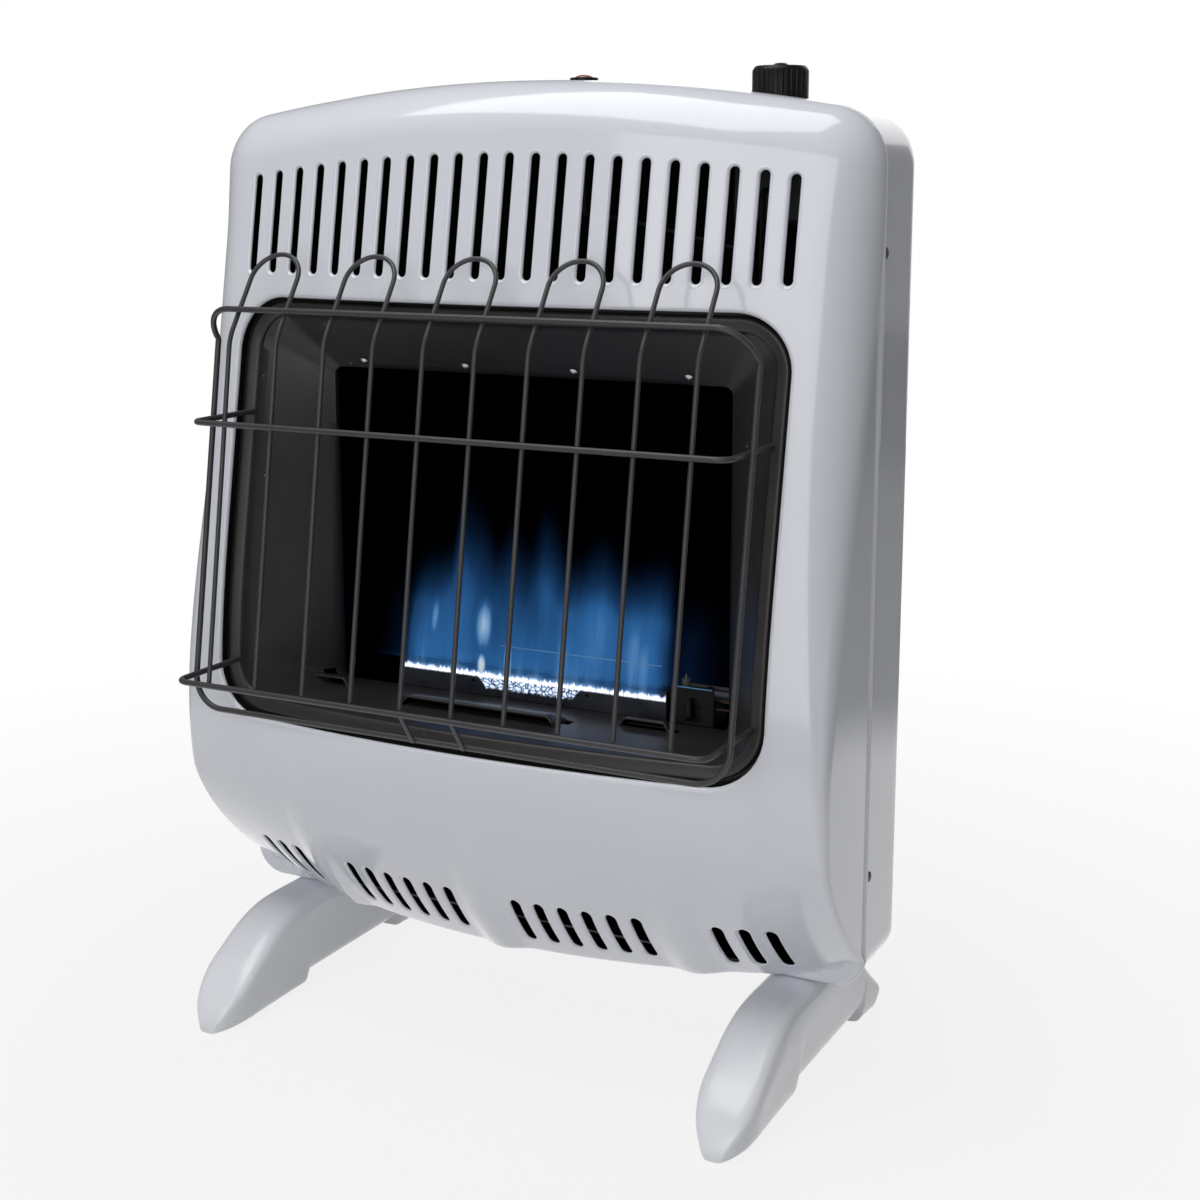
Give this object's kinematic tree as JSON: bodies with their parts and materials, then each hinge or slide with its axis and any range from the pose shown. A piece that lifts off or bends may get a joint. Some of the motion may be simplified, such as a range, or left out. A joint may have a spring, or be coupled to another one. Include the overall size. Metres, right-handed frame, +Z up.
{
  "type": "blue flame propane heater",
  "caption": "Free-standing blue flame propane heater: pressed white casing with louvre slots, open firebox behind a wire guard, turning gas knob, push igniter and shoe feet.",
  "frame": {"origin": "on the floor under the middle of the bounding box", "axes": "+X to the right of someone facing the heater, +Y to the back, +Z up"},
  "size_m": [0.485, 0.2758, 0.66],
  "materials": {
    "casing_enamel": "gloss white enamel",
    "zinc": "zinc plated",
    "firebox_enamel": "satin heat-proof dark coating",
    "chamber_steel": "matt heat-proof black",
    "burner_steel": "aluminised steel, heat tinted",
    "brass": "turned brass",
    "diecast": "die-cast",
    "stem_steel": "plain steel",
    "knob_black": "satin black",
    "button_copper": "copper red",
    "copper": "copper",
    "porcelain": "glazed ceramic",
    "pipe_aluminium": "drawn tube",
    "lead_black": "silicone sleeve",
    "guard_black": "satin black",
    "foot_white": "gloss white"
  },
  "bodies": {
    "heater": {"front_casing": "casing_enamel", "rear_casing": "casing_enamel", "casing_screws": "zinc", "firebox": "firebox_enamel", "firebox_rivets": "zinc", "chamber_back_wall": "chamber_steel", "chamber_base": "chamber_steel", "chamber_ceiling": "chamber_steel", "chamber_left_wall": "chamber_steel", "chamber_right_wall": "chamber_steel", "chamber_bracket": "zinc", "heat_shield": "zinc", "burner": "burner_steel", "mixer_tube": "burner_steel", "injector": "brass", "injector_bracket": "zinc", "gas_valve": "diecast", "valve_bracket": "zinc", "igniter_body": "knob_black", "igniter_nut": "knob_black", "pilot_bracket": "zinc", "pilot_burner": "zinc", "thermocouple": "copper", "spark_electrode": "porcelain", "pilot_tube": "pipe_aluminium", "thermocouple_lead": "copper", "ignition_wire": "lead_black", "burner_pipe": "pipe_aluminium", "feed_pipe": "pipe_aluminium", "regulator": "diecast", "inlet_fitting": "brass", "guard_frame": "guard_black", "guard_mid_rail": "guard_black", "guard_low_rail": "guard_black", "guard_uprights": "guard_black", "left_foot": "foot_white", "right_foot": "foot_white", "foot_screws": "zinc"},
    "valve_plunger": {"valve_plunger": "brass"},
    "control_knob": {"control_knob": "knob_black", "valve_stem": "stem_steel"},
    "igniter_button": {"igniter_button": "button_copper"}
  },
  "joints": [
    {"name": "knob_press", "type": "slide", "parent": "heater", "child": "valve_plunger", "axis": [0, 0, -1], "range_m": [0, 0.004], "stiffness_N_per_m": 800, "springref_m": -0.002},
    {"name": "knob_turn", "type": "hinge", "parent": "valve_plunger", "child": "control_knob", "pos_m": [0.161, 0.04193, 0.65], "axis": [0, 0, 1], "range_deg": [0, 240]},
    {"name": "igniter_press", "type": "slide", "parent": "heater", "child": "igniter_button", "axis": [0, 0, -1], "range_m": [0, 0.004], "stiffness_N_per_m": 1500, "springref_m": -0.002}
  ]
}
